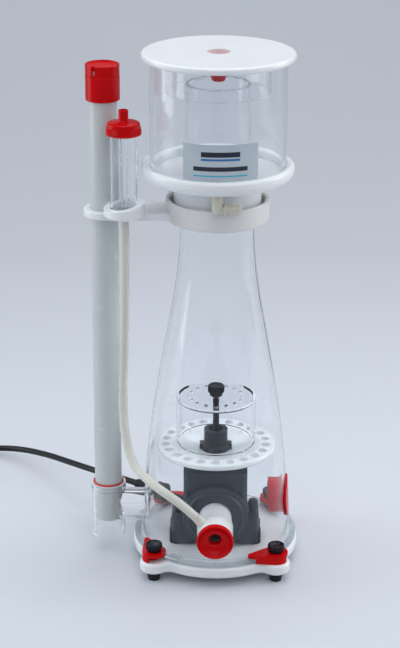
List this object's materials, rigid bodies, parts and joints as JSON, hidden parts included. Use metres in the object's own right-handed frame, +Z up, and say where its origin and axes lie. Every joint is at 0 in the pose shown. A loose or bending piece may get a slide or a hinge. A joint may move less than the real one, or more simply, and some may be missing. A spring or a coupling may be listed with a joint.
{
  "type": "protein skimmer",
  "caption": "Cone-shaped protein skimmer for an aquarium sump, with a needle-wheel pump, a collection cup, an air silencer and an outlet riser.",
  "frame": {"origin": "on the floor, below the middle of the outline without its lead", "axes": "+Z up, +X to the right of the side that the intake faces, -Y towards the intake"},
  "size_m": [0.4284, 0.2971, 0.475],
  "materials": {
    "white": "gloss",
    "milky": "satin, slightly translucent",
    "clear": "clear polished acrylic",
    "red": "gloss",
    "black": "satin",
    "pump_plastic": "satin",
    "grey": "satin",
    "foot_rubber": "matte",
    "gasket_rubber": "pale silicone, slightly translucent",
    "ring_rubber": "satin",
    "hose": "satin, slightly translucent",
    "steel": "satin",
    "ceramic": "polished ceramic",
    "magnet": "coated ferrite",
    "windings": "potted windings on steel",
    "beige": "gloss",
    "label": "satin film",
    "lead": "satin"
  },
  "bodies": {
    "stand": {"base_plate": "white", "intake_sleeve": "white", "intake_tube": "white", "air_barb": "white", "bubble_plate": "white", "pipe_bracket": "white", "silencer_holder": "white", "neck_collar": "milky", "silencer_tube": "clear", "body_shell": "clear", "diffuser_cap": "clear", "outlet_tee": "clear", "side_plug": "red", "intake_nozzle": "red", "mains_plug": "black", "cable_gland": "black", "cable_tie": "black", "pump_volute": "pump_plastic", "pump_cover": "pump_plastic", "pump_motor": "pump_plastic", "pump_stand": "pump_plastic", "stand_screws": "pump_plastic", "outlet_union": "grey", "rubber_feet": "foot_rubber", "pump_bushings": "foot_rubber", "base_gasket": "gasket_rubber", "outlet_oring": "ring_rubber", "air_hose": "hose", "clip_studs": "steel", "impeller_shaft": "ceramic", "shaft_bearings": "ceramic", "pump_stator": "windings", "power_cable": "lead", "cable_coil": "lead"},
    "rotor": {"impeller": "pump_plastic", "rotor_magnet": "magnet"},
    "diffuser_screw": {"diffuser_screw": "black"},
    "riser": {"riser_pipe": "white"},
    "riser_cap": {"riser_cap": "red"},
    "silencer_cap": {"silencer_cap": "red", "silencer_downtube": "clear"},
    "cup": {"cup_floor": "white", "cup_wall": "clear", "cup_neck": "clear", "cup_neck_ring": "white", "cup_oring": "ring_rubber", "cup_label": "label", "drain_elbow": "beige", "drain_nut": "white"},
    "lid": {"lid": "white", "lid_ring": "clear"},
    "lid_plug": {"lid_plug": "red"},
    "clip_front_left": {"cam_clip_front_left": "red"},
    "knob_front_left": {"clip_knob_front_left": "black"},
    "clip_front_right": {"cam_clip_front_right": "red"},
    "knob_front_right": {"clip_knob_front_right": "black"},
    "clip_rear_right": {"cam_clip_rear_right": "red"},
    "knob_rear_right": {"clip_knob_rear_right": "black"},
    "clip_rear_left": {"cam_clip_rear_left": "red"},
    "knob_rear_left": {"clip_knob_rear_left": "black"}
  },
  "joints": [
    {"name": "rotor_spin", "type": "hinge", "parent": "stand", "child": "rotor", "pos_m": [0.02075, 0.00535, 0.0505], "axis": [0, -1, 0], "continuous": true},
    {"name": "diffuser_screw_turn", "type": "hinge", "parent": "stand", "child": "diffuser_screw", "pos_m": [0.02075, 0.00535, 0.13], "axis": [0, 0, 1], "continuous": true},
    {"name": "riser_turn", "type": "hinge", "parent": "stand", "child": "riser", "pos_m": [-0.07875, 0.00535, 0.2], "axis": [0, 0, 1], "range_deg": [0, 180]},
    {"name": "riser_cap_lift", "type": "slide", "parent": "riser", "child": "riser_cap", "axis": [0, 0, 1], "range_m": [0, 0.03]},
    {"name": "silencer_cap_lift", "type": "slide", "parent": "stand", "child": "silencer_cap", "axis": [0, 0, 1], "range_m": [0, 0.07]},
    {"name": "cup_lift", "type": "slide", "parent": "stand", "child": "cup", "axis": [0, 0, 1], "range_m": [0, 0.06]},
    {"name": "lid_lift", "type": "slide", "parent": "cup", "child": "lid", "axis": [0, 0, 1], "range_m": [0, 0.05]},
    {"name": "lid_plug_lift", "type": "slide", "parent": "lid", "child": "lid_plug", "axis": [0, 0, 1], "range_m": [0, 0.03]},
    {"name": "clip_front_left_turn", "type": "hinge", "parent": "stand", "child": "clip_front_left", "pos_m": [-0.03475, -0.05165, 0.025], "axis": [0, 0, 1], "range_deg": [0, 90]},
    {"name": "knob_front_left_turn", "type": "hinge", "parent": "stand", "child": "knob_front_left", "pos_m": [-0.03475, -0.05165, 0.031], "axis": [0, 0, 1], "continuous": true},
    {"name": "clip_front_right_turn", "type": "hinge", "parent": "stand", "child": "clip_front_right", "pos_m": [0.07625, -0.05165, 0.025], "axis": [0, 0, 1], "range_deg": [0, 90]},
    {"name": "knob_front_right_turn", "type": "hinge", "parent": "stand", "child": "knob_front_right", "pos_m": [0.07625, -0.05165, 0.031], "axis": [0, 0, 1], "continuous": true},
    {"name": "clip_rear_right_turn", "type": "hinge", "parent": "stand", "child": "clip_rear_right", "pos_m": [0.07625, 0.06235, 0.025], "axis": [0, 0, 1], "range_deg": [0, 90]},
    {"name": "knob_rear_right_turn", "type": "hinge", "parent": "stand", "child": "knob_rear_right", "pos_m": [0.07625, 0.06235, 0.031], "axis": [0, 0, 1], "continuous": true},
    {"name": "clip_rear_left_turn", "type": "hinge", "parent": "stand", "child": "clip_rear_left", "pos_m": [-0.03475, 0.06235, 0.025], "axis": [0, 0, 1], "range_deg": [0, 90]},
    {"name": "knob_rear_left_turn", "type": "hinge", "parent": "stand", "child": "knob_rear_left", "pos_m": [-0.03475, 0.06235, 0.031], "axis": [0, 0, 1], "continuous": true}
  ]
}
